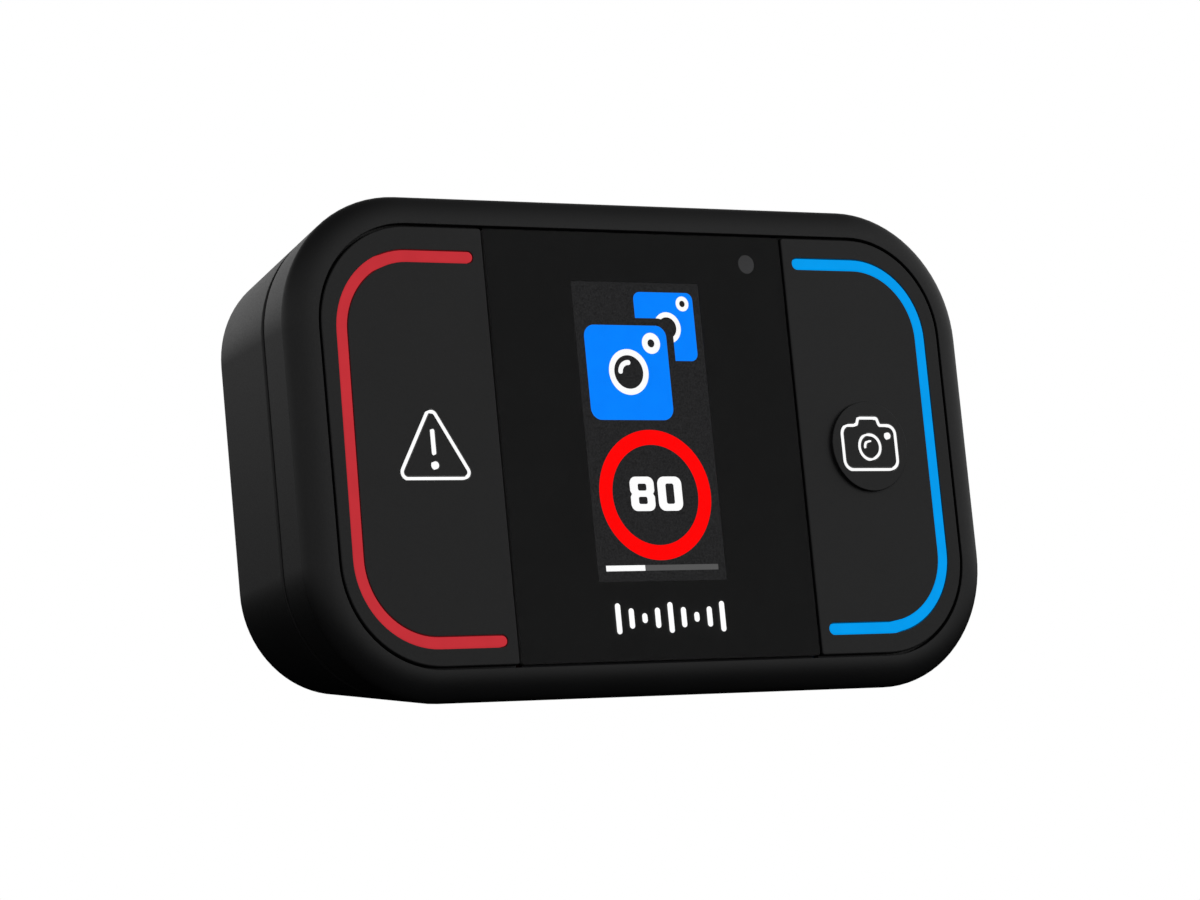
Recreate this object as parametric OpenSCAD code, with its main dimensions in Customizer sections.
// Compact dashboard traffic alarm: a drafted two-part case that stands on its flat underside and
// leans back, with a smoked display window between two large push keys.
//
// Case coordinates: X to the right, Y into the depth from the front plane, Z up the face.
// standing() leans the case back and puts the middle of its footprint box at the origin.

/* [Case] */
// Width of the case at its widest, just behind the rounded front edge
body_w = 57; // [56:0.25:58]
// Height of the case along its face
body_h = 35.7; // [35:0.1:36.5]
// Depth from the front plane to the back
body_d = 14.8; // [14.7:0.05:15.2]
// Outer corner radius of the face
corner_r = 9.65; // [9.3:0.05:10]
// Backward lean in degrees, equal to the draft of the top and the underside
lean = 10.2; // [9.5:0.1:10.5]
// Draft of the two side walls in degrees
side_draft = 8.3; // [7.5:0.1:8.5]
// Wall thickness of the case
wall_t = 1.6; // [1.5:0.05:1.7]
// Depth of the joint between front frame and rear shell
parting_y = 5.3; // [5.25:0.05:5.35]
// Width of the shadow gap at that joint
parting_gap = 0.38; // [0.3:0.02:0.42]

/* [Face] */
// Distance from the case outline to the gap around the inner face
face_inset = 2.28; // [2.2:0.02:2.36]
// Corner radius of that gap
face_r = 7.4; // [7.2:0.05:7.6]
// Depth of the rounded front edge
edge_d = 1.42; // [1.3:0.02:1.5]
// Thickness of the frame's lip in front of the key flanges
lip_t = 0.6; // [0.55:0.01:0.62]
// Gaps between the frame, the keys and the window
gap = 0.18; // [0.14:0.02:0.26]
// Distance from the middle to the gap beside each key
split_x = 12.7; // [12.5:0.05:12.8]
// Thickness of the display window
window_t = 0.5; // [0.45:0.01:0.52]

/* [Keys] */
// Thickness of a key plate
key_t = 1.2; // [1.1:0.05:1.2]
// Travel of a key from rest to its stop
travel = 0.4; // [0.2:0.05:0.4]
// Distance from the middle to each key's push stud
stud_x = 18.6; // [18.2:0.1:18.8]
// Width of the light bar on each key
bar_w = 0.76; // [0.7:0.02:0.9]
// Middle line of the upright part of a light bar
bar_x = 24.54; // [24.5:0.02:24.6]
// Middle line of the level parts of a light bar
bar_z = 13.58; // [13.5:0.02:13.7]
// Corner radius of a light bar's middle line
bar_r = 5.55; // [5.3:0.05:5.8]
// Centre of a light bar's round inner end, measured from the middle
bar_end_x = 14.05; // [14:0.05:14.5]
// How far the left light bar sits below the middle of its key
left_bar_drop = 0.21; // [0:0.01:0.24]
// How much the left light bar's lower corner swings out from an even shape
left_bar_flare = 0.24; // [0:0.02:0.3]
// Radius of the raised disc on the right key
disc_r = 3.35; // [3.2:0.05:3.5]
// Height of the raised disc
disc_h = 0.3; // [0.24:0.02:0.4]

/* [Display] */
// Width of the display module
module_w = 13.5; // [13:0.1:13.6]
// Length of the display module
module_h = 27.95; // [27.5:0.05:28]
// Thickness of the liquid crystal cell
cell_t = 0.9; // [0.8:0.05:0.9]
// Thickness of the backlight behind it
backlight_t = 0.6; // [0.5:0.05:0.6]
// Height of the module's middle above the middle of the face
module_z = -0.78; // [-0.8:0.01:-0.7]

/* [Board] */
// Thickness of the circuit board
board_t = 0.8; // [0.7:0.05:0.8]
// Depth of the board's front side
board_y = 5.6; // [5.6:0.02:5.64]
// Distance of a case screw from the middle, sideways
screw_x = 22.4; // [22.2:0.1:22.5]
// Distance of a case screw from the middle, up the face
screw_z = 11.4; // [11.2:0.1:11.5]
// Shank radius of a case screw
screw_r = 0.8; // [0.7:0.05:0.8]

/* [Power and sound] */
// Width of the battery cell
battery_w = 20; // [18:0.5:20]
// Length of the battery cell
battery_h = 25; // [22:0.5:25]
// Thickness of the battery cell
battery_t = 4; // [3.5:0.1:4]
// Radius of the loudspeaker
speaker_r = 6.5; // [6:0.1:6.5]
// Distance from the middle to the loudspeaker
speaker_x = 14.5; // [14.4:0.1:14.8]
// Radius of a holding magnet
magnet_r = 5; // [4:0.25:5]
// Distance of each magnet from the middle of the back
magnet_z = 7; // [6.5:0.1:7.2]

/* [Hidden] */
$fn = 64;
arc_steps = 12;                    // facets in a quarter circle of a lofted outline
slack = 0.03;                      // room between pieces that are fitted and stay put
over = 1;                          // how far a cut runs past a face

half_w = body_w / 2;
half_h = body_h / 2;
opening_inset = face_inset - gap / 2;
edge_w = opening_inset - 0.06;     // leaves a narrow land around the opening
plate_inset = face_inset + gap / 2;
rear_edge_r = 0.4;                 // rounding of the rearmost edge
rear_y = parting_y + parting_gap / 2;
frame_end_y = parting_y - parting_gap / 2;
back_wall_y = body_d - wall_t;     // inner side of the back wall

cavity_w = half_w - wall_t;        // straight inner space of the front frame
cavity_h = half_h - wall_t;
cavity_r = corner_r - wall_t;
lip_back_y = lip_t + 0.02;

tongue_y = 4.2;                    // front end of the rear shell's tongue
tongue_t = 0.72;
tongue_clear = 0.08;
board_back_y = board_y + board_t;
board_w = 25.6;                    // half sizes of the board
board_h = 15;
board_r = 7;

key_edge_x = split_x + gap / 2;
window_edge_x = split_x - gap / 2;
flange_out = 0.5;                  // how far a key's flange reaches under the lip
web_y = 2.1;                       // front of the carrier's web
web_t = 0.8;
rim_end_y = 3.6;                   // back of the carrier's rim
rim_t = 0.8;
carrier_clear = 0.15;
tower_x = window_edge_x - 0.3;
post_y = 2;                        // front and back of the frame's screw posts
post_end_y = 4;
post_r = 1.5;

icon_depth = 0.3;
icon_proud = 0.01;                 // the symbols stand a hair proud
warning_stroke = 0.17;
camera_stroke = 0.155;
warning_x = -18.13;
camera_x = 18.73;                  // middle of the camera symbol and its disc
camera_z = -0.13;

cell_y = window_t + 0.06;          // front of the display cell
pipe_x = 9.57;                     // light pipe of the ambient light sensor
pipe_z = 13.45;
pipe_r = 0.7;

switch_w = 4.5;
switch_h = 2.3;
switch_y = board_y - switch_h;
stem_r = 1.1;
stem_y = switch_y - travel - 0.15; // tip of a switch stem at rest
stud_r = 1.3;
led_z = bar_z - 0.2;
led_spots = [[bar_x, 5, 90], [bar_x, -5, 90], [16.5, led_z, 0], [16.5, -led_z, 0]];
foot_size = [2.2, 0.8];            // light guide foot above each lamp
foot_end_y = 4.5;
guide_back_y = key_t + 0.34;       // stays clear of the screw posts when a key is pressed

usb_w = 8.94;
usb_t = 3.26;
usb_len = 7.35;
usb_mouth_x = 25.9;
usb_y = board_back_y + usb_t / 2;
slot_w = 9.4;
slot_t = 3.7;

battery_y = 7.3;
battery_x = 3.5;
magnet_t = 1.5;
speaker_t = 2.6;
gasket_t = 0.2;
speaker_front_y = back_wall_y - gasket_t - speaker_t;
pad_w = 17;
pad_h = 25;
pad_r = 3;
pad_t = 0.5;
head_r = 1.5;
head_t = 1;
head_seat_y = body_d - 1.5;
screw_tip_y = 2.35;

// Corners of a 2 by 2 pattern about the middle.
SIGNS = [[1, 1], [-1, 1], [-1, -1], [1, -1]];

// Outer shape of the case --------------------------------------------------------------------

function draft_in(y, angle) = max(0, y - edge_d) * tan(angle);
function front_in(y) = y >= edge_d ? 0 : edge_w * (1 - sqrt(1 - pow(1 - y / edge_d, 2)));
function rear_in(y) =
    let (t = (y - (body_d - rear_edge_r)) / rear_edge_r)
    t <= 0 ? 0 : rear_edge_r * (1 - sqrt(max(0, 1 - t * t)));
function rounding_in(y) = front_in(y) + rear_in(y);

// Half width, half height and corner radius of the case at a depth, in from the surface by inset.
function section(y, inset = 0) = [
    y,
    half_w - draft_in(y, side_draft) - rounding_in(y) - inset,
    half_h - draft_in(y, lean) - rounding_in(y) - inset,
    corner_r - draft_in(y, lean) - rounding_in(y) - inset
];

function corner_arc(x, z, r, from) =
    [for (i = [0:arc_steps]) let (a = from + 90 * i / arc_steps) [x + r * cos(a), z + r * sin(a)]];
function outline(w, h, r) = concat(
    corner_arc(w - r, h - r, r, 0), corner_arc(r - w, h - r, r, 90),
    corner_arc(r - w, r - h, r, 180), corner_arc(w - r, r - h, r, 270)
);

// Solid through a list of sections, front to back.
module loft(sections) {
    n = 4 * (arc_steps + 1);
    last = (len(sections) - 1) * n;
    points = [for (s = sections) each [for (p = outline(s[1], s[2], s[3])) [p[0], s[0], p[1]]]];
    sides = [
        for (k = [0:len(sections) - 2], i = [0:n - 1])
            let (a = k * n + i, b = k * n + (i + 1) % n)
            each [[a, b, b + n], [a, b + n, a + n]]
    ];
    polyhedron(points, concat([[for (i = [n - 1:-1:0]) i]], sides, [[for (i = [0:n - 1]) last + i]]));
}

// How far the lowest line of the case reaches forward once it leans, and its rearmost point.
edge_samples = [for (i = [0:20]) edge_d * i / 20];
front_reach = min([for (y = edge_samples) y * cos(lean) - section(y)[2] * sin(lean)]);
rear_samples = [for (i = [0:10]) body_d - rear_edge_r * i / 10];
rear_reach = max([for (y = rear_samples) y * cos(lean) + section(y)[2] * sin(lean)]);
lift = edge_d * sin(lean) + half_h * cos(lean);

// Helpers --------------------------------------------------------------------------------------

module standing() {
    translate([0, -(front_reach + rear_reach) / 2, lift]) rotate([-lean, 0, 0]) children();
}

// Extrudes a shape drawn in X and Z from one depth to another.
module between(y0, y1) {
    translate([0, y1, 0]) rotate([90, 0, 0]) linear_extrude(y1 - y0) children();
}

// Extrudes a shape drawn in Y and Z from one X to another.
module across(x0, x1) {
    translate([x0, 0, 0]) rotate([90, 0, 90]) linear_extrude(x1 - x0) children();
}

module rounded(w, h, r) {
    square([w - 2 * r, h], center = true);
    square([w, h - 2 * r], center = true);
    for (s = SIGNS) translate([s[0] * (w / 2 - r), s[1] * (h / 2 - r)]) circle(r);
}

// The inner face's outline, moved out by grow.
module face(grow = 0) {
    rounded(2 * (half_w - face_inset + grow), 2 * (half_h - face_inset + grow), face_r + grow);
}

module cavity(grow = 0) {
    rounded(2 * (cavity_w + grow), 2 * (cavity_h + grow), cavity_r + grow);
}

module block(x, z, w, h, y0, y1, r = 0.15) {
    between(y0, y1) translate([x, z]) rounded(w, h, r);
}

module disc(x, z, r, y0, y1) {
    between(y0, y1) translate([x, z]) circle(r);
}

// Round wire of radius r along the curve that starts at p[0], ends at p[3] and leaves towards p[1].
function curve_point(p, t) = let (u = 1 - t)
    u * u * u * p[0] + 3 * u * u * t * p[1] + 3 * u * t * t * p[2] + t * t * t * p[3];
function curve_way(p, t) = let (u = 1 - t)
    u * u * (p[1] - p[0]) + 2 * u * t * (p[2] - p[1]) + t * t * (p[3] - p[2]);
function unit(v) = v / norm(v);

// The curve never runs along side, which keeps the wire from twisting.
module wire(p, r, side) {
    sides = 10;
    rings = 12;
    points = [
        for (k = [0:rings])
            let (t = k / rings, way = curve_way(p, t), u = unit(cross(way, side)), v = unit(cross(way, u)))
            each [
                for (i = [0:sides - 1])
                    let (a = 360 * i / sides) curve_point(p, t) + r * (cos(a) * u + sin(a) * v)
            ]
    ];
    walls = [
        for (k = [0:rings - 1], i = [0:sides - 1])
            let (a = k * sides + i, b = k * sides + (i + 1) % sides)
            each [[a, b, b + sides], [a, b + sides, a + sides]]
    ];
    polyhedron(points, concat(
        [[for (i = [sides - 1:-1:0]) i]], walls, [[for (i = [0:sides - 1]) rings * sides + i]]
    ));
}

module at_screws() {
    for (s = SIGNS) translate([s[0] * screw_x, 0, s[1] * screw_z]) children();
}

// A rib from each screw post out to the corner of the front frame.
module post_ribs(w, y0, y1) {
    corner = [cavity_w - cavity_r, cavity_h - cavity_r];
    a = atan2(screw_z - corner[1], screw_x - corner[0]);
    reach = cavity_r + 0.5 - norm([screw_x, screw_z] - corner);
    for (s = SIGNS)
        between(y0, y1) scale([s[0], s[1]]) translate([screw_x, screw_z]) rotate(a)
            translate([0, -w / 2]) square([reach, w]);
}

// Case -------------------------------------------------------------------------------------------

module front_frame() {
    front_steps = [0, 0.06, 0.2, 0.42, 0.72, 1];
    color("#26272a") standing() {
        difference() {
            loft([for (t = front_steps) section(t * edge_d), section(frame_end_y)]);
            between(-over, 2) face(gap / 2);
            between(lip_back_y, frame_end_y + over) cavity();
        }
        difference() {
            union() {
                at_screws() disc(0, 0, post_r, post_y, post_end_y);
                post_ribs(1.4, post_y, post_end_y);
            }
            at_screws() disc(0, 0, screw_r + 0.02, screw_tip_y - 0.15, post_end_y + over);
        }
    }
}

module grille_holes() {
    for (ring = [0:2], k = [0:max(0, 6 * ring - 1)])
        let (a = 60 * k / max(1, ring))
        translate([1.9 * ring * cos(a) - speaker_x, 1.9 * ring * sin(a)]) circle(0.5);
}

module rear_shell() {
    rear_steps = [1, 0.6, 0.3, 0.1, 0];
    color("#222326") standing() difference() {
        union() {
            difference() {
                loft([section(rear_y), for (t = rear_steps) section(body_d - t * rear_edge_r)]);
                loft([section(rear_y - over, wall_t), section(back_wall_y, wall_t)]);
            }
            difference() {
                between(tongue_y, rear_y + 0.5) cavity(-tongue_clear);
                between(tongue_y - over, rear_y + over) cavity(-tongue_clear - tongue_t);
            }
            at_screws() disc(0, 0, 2, board_back_y + 0.02, back_wall_y + 0.2);
            disc(-speaker_x, 0, speaker_r + 0.85, back_wall_y - 1.6, back_wall_y + 0.2);
            for (s = [1, -1]) disc(0, s * magnet_z, magnet_r + 0.8, back_wall_y - 1.2, back_wall_y + 0.2);
        }
        at_screws() disc(0, 0, screw_r + 0.15, tongue_y, body_d + over);
        at_screws() disc(0, 0, head_r + 0.2, head_seat_y, body_d + over);
        disc(-speaker_x, 0, speaker_r + 0.1, back_wall_y - 2, back_wall_y);
        for (s = [1, -1]) disc(0, s * magnet_z, magnet_r + slack, back_wall_y - 2, back_wall_y);
        between(back_wall_y - over, body_d + over) grille_holes();
        between(body_d - pad_t, body_d + over) rounded(pad_w, pad_h, pad_r);
        across(usb_mouth_x - 2, half_w + over) translate([usb_y, 0])
            rounded(slot_t, slot_w, slot_t / 2 - 0.01);
    }
}

module rear_pad() {
    color("#3a3b3e") standing()
        between(body_d - pad_t + 0.01, body_d) rounded(pad_w - 0.16, pad_h - 0.16, pad_r - 0.08);
}

module case_screws() {
    color("#8a8c90") standing() at_screws() difference() {
        union() {
            disc(0, 0, screw_r, screw_tip_y, head_seat_y + 0.1);
            disc(0, 0, head_r, head_seat_y + 0.01, head_seat_y + head_t);
        }
        for (a = [0, 90]) between(head_seat_y + head_t - 0.55, head_seat_y + head_t + over)
            rotate(a) square([1.7, 0.36], center = true);
    }
}

// Window and carrier -----------------------------------------------------------------------------

module window_outline() {
    rounded(2 * window_edge_x, 2 * (half_h - plate_inset), 0.3);
}

module front_window() {
    color("#1b1c1f") standing() between(0, window_t) window_outline();
}

module window_tape() {
    color("#0c0c0d") standing() difference() {
        between(window_t, lip_back_y) rounded(2 * tower_x, 2 * (half_h - plate_inset - 0.1), 0.3);
        block(0, module_z, module_w + 0.2, module_h + 0.2, 0, 1, 0.3);
        disc(pipe_x, pipe_z, pipe_r + 0.1, 0, 1);
    }
}

module inner_carrier() {
    color("#303236") standing() difference() {
        union() {
            between(web_y, web_y + web_t) cavity(-carrier_clear);
            difference() {
                between(web_y, rim_end_y) cavity(-carrier_clear);
                between(web_y - over, rim_end_y + over) cavity(-carrier_clear - rim_t);
            }
            block(0, 0, 2 * tower_x, 2 * (cavity_h - carrier_clear), lip_back_y, web_y + 0.1, 0.3);
            at_screws() disc(0, 0, 2.5, web_y, post_end_y + slack);
            at_screws() disc(0, 0, 2.2, post_end_y + slack, board_y - 0.02);
        }
        at_screws() disc(0, 0, post_r + 0.2, 0, post_end_y + 0.02);
        at_screws() disc(0, 0, screw_r + 0.15, 0, board_y + over);
        post_ribs(1.8, 0, post_end_y + 0.02);
        block(0, module_z, module_w + 0.16, module_h + 0.16, 0, cell_y + cell_t + backlight_t + 0.03, 0.3);
        block(0, -15, 8.6, 0.9, 0, 4, 0.1);
        disc(pipe_x, pipe_z, pipe_r + 0.06, 0, 4);
        for (s = [1, -1]) disc(s * stud_x, 0, stud_r + 0.4, 0, 4);
        for (s = [1, -1], p = led_spots)
            between(0, 4) translate([s * p[0], p[1] - (s < 0 ? left_bar_drop : 0)]) rotate(p[2])
                square([foot_size[0] + 0.6, foot_size[1] + 0.6], center = true);
    }
}

// Keys, drawn for the right side -----------------------------------------------------------------

module right_half(x) {
    intersection() {
        children();
        translate([x, -body_h]) square([body_w, 2 * body_h]);
    }
}

// Everything inside a light bar's middle line moved out by grow.
module bar_block(grow, flare) {
    x = bar_x - bar_r;
    z = bar_z - bar_r;
    r = bar_r + grow;
    low_r = r + flare;
    turn = asin(flare / (2 * z - flare));
    side = [cos(turn), sin(turn)];
    translate([x, z]) circle(r);
    translate([x, flare - z]) circle(low_r);
    polygon([
        [0, -z - r], [x, -z - r], [x, flare - z] + low_r * side,
        [x, z] + r * side, [x, z + r], [0, z + r]
    ]);
}

// A light bar of width w: three sides of a rounded rectangle, open towards the middle.
module light_bar(w, flare) {
    right_half(bar_end_x) difference() {
        bar_block(w / 2, flare);
        bar_block(-w / 2, flare);
    }
    for (s = [1, -1]) translate([bar_end_x, s * bar_z]) circle(w / 2);
}

module key_plate(bar_drop = 0, bar_flare = 0) {
    difference() {
        union() {
            between(0, key_t) right_half(key_edge_x) face(-gap / 2);
            between(lip_back_y, key_t) right_half(key_edge_x) face(flange_out - gap / 2);
            disc(stud_x, 0, stud_r, key_t - 0.1, stem_y - 0.01);
        }
        between(-over, key_t + over) translate([0, -bar_drop]) light_bar(bar_w + 2 * slack, bar_flare);
    }
}

module light_guide(flare = 0) {
    between(0, key_t) light_bar(bar_w, flare);
    between(key_t, guide_back_y) light_bar(2, flare);
    for (p = led_spots)
        between(key_t + 0.2, foot_end_y) translate([p[0], p[1]]) rotate(p[2])
            square(foot_size, center = true);
}

// Triangle with rounded corners, its sides moved in by inset.
module rounded_triangle(inset) {
    corners = [[0, 1.95], [-2.24, -1.93], [2.24, -1.93]];
    hull() for (c = corners) translate(c) circle(0.5 - inset, $fn = 32);
}

module warning_shape() {
    translate([warning_x, 0]) {
        difference() {
            rounded_triangle(0);
            rounded_triangle(warning_stroke);
        }
        hull() for (z = [0.98, -0.57]) translate([0, z]) circle(0.13, $fn = 32);
        translate([0, -1.44]) circle(0.27);
    }
}

// Outline of a small camera, its sides moved in by inset.
module camera_outline(inset) {
    offset(delta = -inset) {
        translate([0, -0.08]) rounded(4.94, 3.46, 0.78);
        offset(r = 0.3) offset(delta = -0.3)
            polygon([[-1.36, 0.8], [-0.88, 2.2], [0.88, 2.2], [1.36, 0.8]]);
    }
}

module ring(r0, r1) {
    difference() {
        circle(r1);
        circle(r0);
    }
}

module camera_shape() {
    translate([camera_x, camera_z]) {
        difference() {
            camera_outline(0);
            camera_outline(camera_stroke);
        }
        translate([0, -0.05]) {
            ring(0.865, 1);
            intersection() {
                ring(0.37, 0.49);
                rotate(90) square(1);
            }
        }
        translate([1.68, 0.77]) circle(0.25);
    }
}

module left_key() {
    color("#2b2c2f") standing() difference() {
        mirror([1, 0, 0]) key_plate(left_bar_drop, left_bar_flare);
        between(-over, icon_depth) offset(r = 0.01) warning_shape();
    }
}

module right_key() {
    color("#2b2c2f") standing() difference() {
        union() {
            key_plate();
            disc(camera_x, camera_z, disc_r, -disc_h, 0.2);
        }
        between(-disc_h - over, icon_depth - disc_h) offset(r = 0.01) camera_shape();
    }
}

module left_light_guide() {
    color("#c7303a") standing() translate([0, 0, -left_bar_drop])
        mirror([1, 0, 0]) light_guide(left_bar_flare);
}

module right_light_guide() {
    color("#0a98ee") standing() light_guide();
}

module warning_icon() {
    color("#f4f5f6") standing() between(-icon_proud, icon_depth - 0.01) warning_shape();
}

module camera_icon() {
    color("#f4f5f6") standing()
        between(-disc_h - icon_proud, icon_depth - disc_h - 0.01) camera_shape();
}

// Display ----------------------------------------------------------------------------------------

module display_cell() {
    color("#2b2f33") standing() {
        block(0, module_z, module_w, module_h, cell_y + 0.4, cell_y + cell_t);
        block(0, module_z + 1.2, module_w - 0.4, module_h - 2.8, cell_y, cell_y + 0.4);
    }
}

module display_backlight() {
    y0 = cell_y + cell_t;
    color("#e9ebee") standing() block(0, module_z, module_w, module_h, y0 + 0.01, y0 + backlight_t, 0.4);
}

// The flexible tail leaves the lower end of the cell and turns back to the board.
module display_flex() {
    y0 = cell_y + cell_t - 0.18;
    y1 = board_y - 0.5;
    color("#b9782a") standing() across(-4, 4) intersection() {
        translate([(y0 + y1) / 2, -12.2]) difference() {
            rounded(y1 - y0, 6, 0.5);
            rounded(y1 - y0 - 0.24, 5.76, 0.38);
        }
        polygon([[0, -16], [6, -16], [6, -13.9], [3, -14.9], [0, -14.76]]);
    }
}

module display_connector() {
    color("#d9d2c0") standing() difference() {
        block(0, -12.75, 9.4, 2.2, board_y - 0.95, board_y - 0.01, 0.1);
        block(0, -13.9, 8.4, 0.8, board_y - 0.66, board_y - 0.34, 0.05);
    }
}

module light_pipe() {
    color("#c9ced2") standing() {
        disc(pipe_x, pipe_z, pipe_r, window_t + 0.01, board_y - 0.8);
        disc(pipe_x, pipe_z, pipe_r + 0.5, web_y + web_t + 0.01, web_y + web_t + 0.6);
    }
}

module light_sensor() {
    color("#3a3d42") standing() block(pipe_x, pipe_z, 2, 2, board_y - 0.7, board_y - 0.01, 0.1);
}

// Board and what it carries ------------------------------------------------------------------------

module main_board() {
    color("#1f5a3a") standing() difference() {
        between(board_y, board_back_y) rounded(2 * board_w, 2 * board_h, board_r);
        at_screws() disc(0, 0, screw_r + 0.15, board_y - over, board_back_y + over);
    }
}

module controller_chip() {
    color("#17181a") standing() {
        block(0, 4, 7, 7, board_y - 0.9, board_y - 0.1, 0.1);
        block(0, 4, 6.2, 6.2, board_y - 0.15, board_y - 0.01, 0.1);
    }
}

module radio_shield() {
    color("#b9bcc0") standing() difference() {
        block(-15, -4.5, 11, 9.5, board_back_y + 0.01, board_back_y + 1.5, 0.4);
        block(-15, -4.5, 10.6, 9.1, board_back_y - over, board_back_y + 1.3, 0.3);
    }
}

module chip_antenna() {
    color("#dcdad2") standing() {
        block(-22.6, 4.5, 1.6, 3.2, board_back_y + 0.01, board_back_y + 1.2, 0.1);
        for (s = [1, -1])
            block(-22.6, 4.5 + s * 1.5, 1.64, 0.5, board_back_y + 0.01, board_back_y + 1.22, 0.1);
    }
}

module led_row() {
    for (p = led_spots) {
        between(board_y - 0.35, board_y - 0.01) translate([p[0], p[1]]) rotate(p[2])
            square([1.6, 0.8], center = true);
        between(board_y - 0.65, board_y - 0.3) translate([p[0], p[1]]) rotate(p[2])
            rounded(1.1, 0.76, 0.2);
    }
}

module left_leds() {
    color("#f0d9b0") standing() translate([0, 0, -left_bar_drop]) mirror([1, 0, 0]) led_row();
}

module right_leds() {
    color("#f0e6b8") standing() led_row();
}

module switch_body(x) {
    difference() {
        union() {
            block(x, 0, switch_w, switch_w, switch_y, board_y - 0.3, 0.3);
            for (sx = [1, -1], sz = [1, -1])
                block(x + sx * 2.35, sz * 1.5, 1.1, 0.7, board_y - 0.35, board_y - 0.01, 0.05);
        }
        disc(x, 0, stem_r + 0.06, switch_y - over, switch_y + 1.2);
    }
}

module switch_stem(x) {
    disc(x, 0, stem_r, stem_y, switch_y + 0.6);
}

module left_switch() {
    color("#a9acb0") standing() switch_body(-stud_x);
}

module left_stem() {
    color("#2f3033") standing() switch_stem(-stud_x);
}

module right_switch() {
    color("#a9acb0") standing() switch_body(stud_x);
}

module right_stem() {
    color("#2f3033") standing() switch_stem(stud_x);
}

// Charging socket, opening in the right side wall.
module usb_socket() {
    color("#c4c7ca") standing() across(usb_mouth_x - usb_len, usb_mouth_x) translate([usb_y + 0.01, 0])
        difference() {
            rounded(usb_t, usb_w, usb_t / 2 - 0.02);
            rounded(usb_t - 0.6, usb_w - 0.6, usb_t / 2 - 0.32);
        }
}

module usb_tongue() {
    color("#121315") standing() translate([0, usb_y + 0.01, 0]) {
        across(usb_mouth_x - usb_len + 0.1, usb_mouth_x - usb_len + 1.8)
            rounded(usb_t - 0.64, usb_w - 0.64, usb_t / 2 - 0.34);
        across(usb_mouth_x - usb_len + 1, usb_mouth_x - 0.9) rounded(0.7, 6.7, 0.2);
    }
}

// Power, sound and holding magnets -----------------------------------------------------------------

module battery() {
    color("#c9ccd0") standing() {
        block(battery_x, 0, battery_w, battery_h, battery_y + 0.3, battery_y + battery_t - 0.3, 1);
        block(battery_x, 0, battery_w - 0.8, battery_h - 0.8, battery_y, battery_y + battery_t, 0.8);
    }
}

module battery_foam() {
    color("#4a4c50") standing()
        block(battery_x + 6.8, 0, 6, 20, battery_y + battery_t + 0.01, back_wall_y - 0.01, 0.5);
}

module battery_connector() {
    color("#e8e4d8") standing() block(-8.5, 11.4, 3.4, 3, board_back_y + 0.01, board_back_y + 1.8, 0.2);
}

// Two leads arch from the end of the cell into its connector, the outer one over the inner one.
module battery_leads() {
    y0 = battery_y + battery_t / 2;
    y1 = board_back_y + 1;
    color("#c03028") standing() for (k = [0, 1])
        let (x0 = 1.4 * k - 3.2, x1 = -1.5 * k - 7.8, z = 1.15 * k + 13.75)
            wire([[x0, y0, 12.52], [x0, y0, z], [x1, y1, z], [x1, y1, 12.92]], 0.35, [0, 1, 0]);
}

module speaker() {
    color("#7d8085") standing() difference() {
        union() {
            disc(-speaker_x, 0, speaker_r, speaker_front_y, speaker_front_y + speaker_t);
            disc(-speaker_x, 0, 4, speaker_front_y - 0.6, speaker_front_y + 0.1);
        }
        disc(-speaker_x, 0, speaker_r - 0.5, speaker_front_y + 1.4, speaker_front_y + speaker_t + over);
    }
}

module speaker_cone() {
    y0 = speaker_front_y + 1.42;
    color("#26282b") standing() {
        disc(-speaker_x, 0, speaker_r - 0.6, y0, y0 + 0.25);
        translate([-speaker_x, y0 + 0.2, 0]) rotate([-90, 0, 0]) cylinder(h = 0.6, r1 = 3.2, r2 = 2.2);
    }
}

module speaker_gasket() {
    color("#15161a") standing() difference() {
        disc(-speaker_x, 0, speaker_r - slack, back_wall_y - gasket_t + 0.01, back_wall_y - 0.01);
        disc(-speaker_x, 0, speaker_r - 1, back_wall_y - over, back_wall_y + over);
    }
}

module speaker_leads() {
    y0 = speaker_front_y - 0.02;
    y1 = board_back_y + 0.02;
    color("#1b1b1c") standing() for (z = [3.2, 4.4])
        wire(
            [[-18.2, y0, z - 0.8], [-18.2, y0 - 1.2, z - 0.8], [-18.6, y1 + 1.2, z], [-18.6, y1, z]],
            0.3, [1, 0, 0]
        );
}

module holding_magnets() {
    color("#b4b7bb") standing() for (s = [1, -1])
        disc(0, s * magnet_z, magnet_r, back_wall_y - magnet_t, back_wall_y - 0.01);
}

front_frame();
rear_shell();
front_window();
window_tape();
inner_carrier();
left_key();
left_light_guide();
warning_icon();
right_key();
right_light_guide();
camera_icon();
display_cell();
display_backlight();
display_flex();
display_connector();
main_board();
controller_chip();
radio_shield();
chip_antenna();
light_pipe();
light_sensor();
left_leds();
right_leds();
left_switch();
left_stem();
right_switch();
right_stem();
usb_socket();
usb_tongue();
battery();
battery_foam();
battery_connector();
battery_leads();
speaker();
speaker_cone();
speaker_gasket();
speaker_leads();
holding_magnets();
case_screws();
rear_pad();
